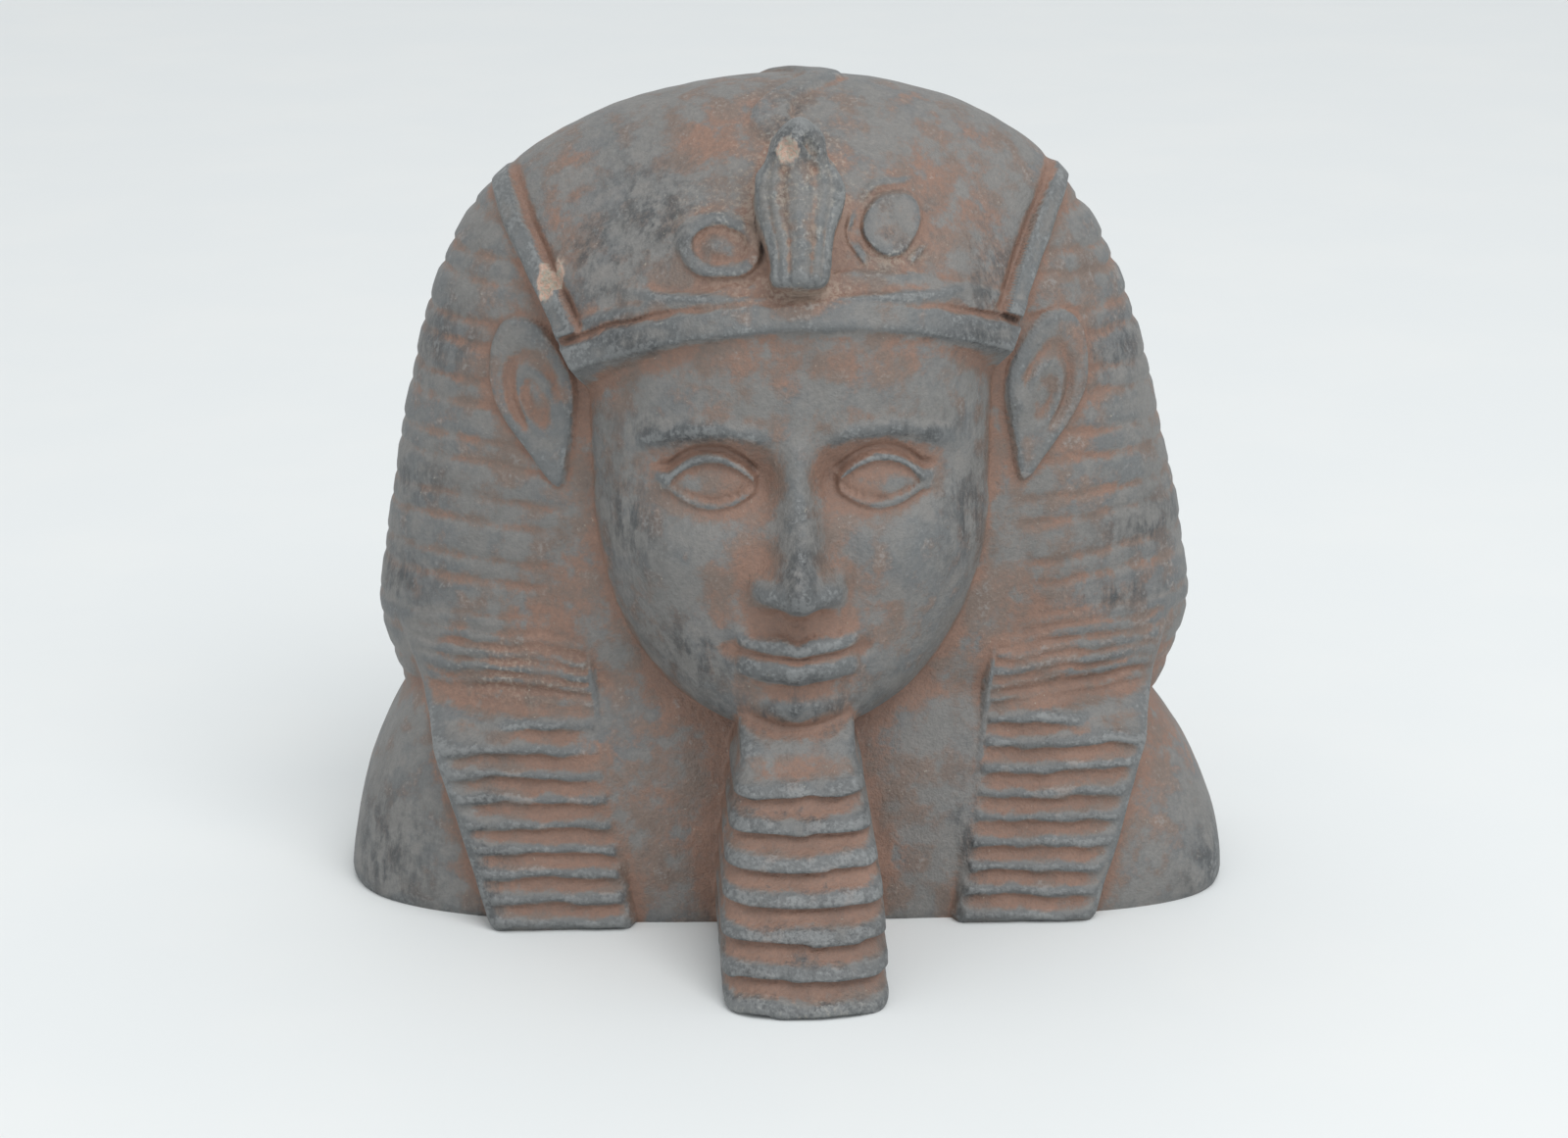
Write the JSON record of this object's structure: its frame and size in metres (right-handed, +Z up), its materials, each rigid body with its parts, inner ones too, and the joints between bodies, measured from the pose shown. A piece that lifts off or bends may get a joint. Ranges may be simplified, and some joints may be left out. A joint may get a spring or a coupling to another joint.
{
  "type": "pharaoh bust ornament",
  "caption": "Small cast bust of a pharaoh in a striped headcloth with a brow cobra, ears, pleated lappets and a ribbed false beard, cut flat below to stand on a shelf.",
  "frame": {"origin": "middle of the shoulders' footprint, on the flat underside", "axes": "+Z up, the face looks along -Y, +X to the right of someone who faces the bust"},
  "size_m": [0.1385, 0.0965, 0.127],
  "materials": {
    "stone": "satin"
  },
  "bodies": {
    "root": {"pharaoh_bust": "stone"}
  },
  "joints": []
}
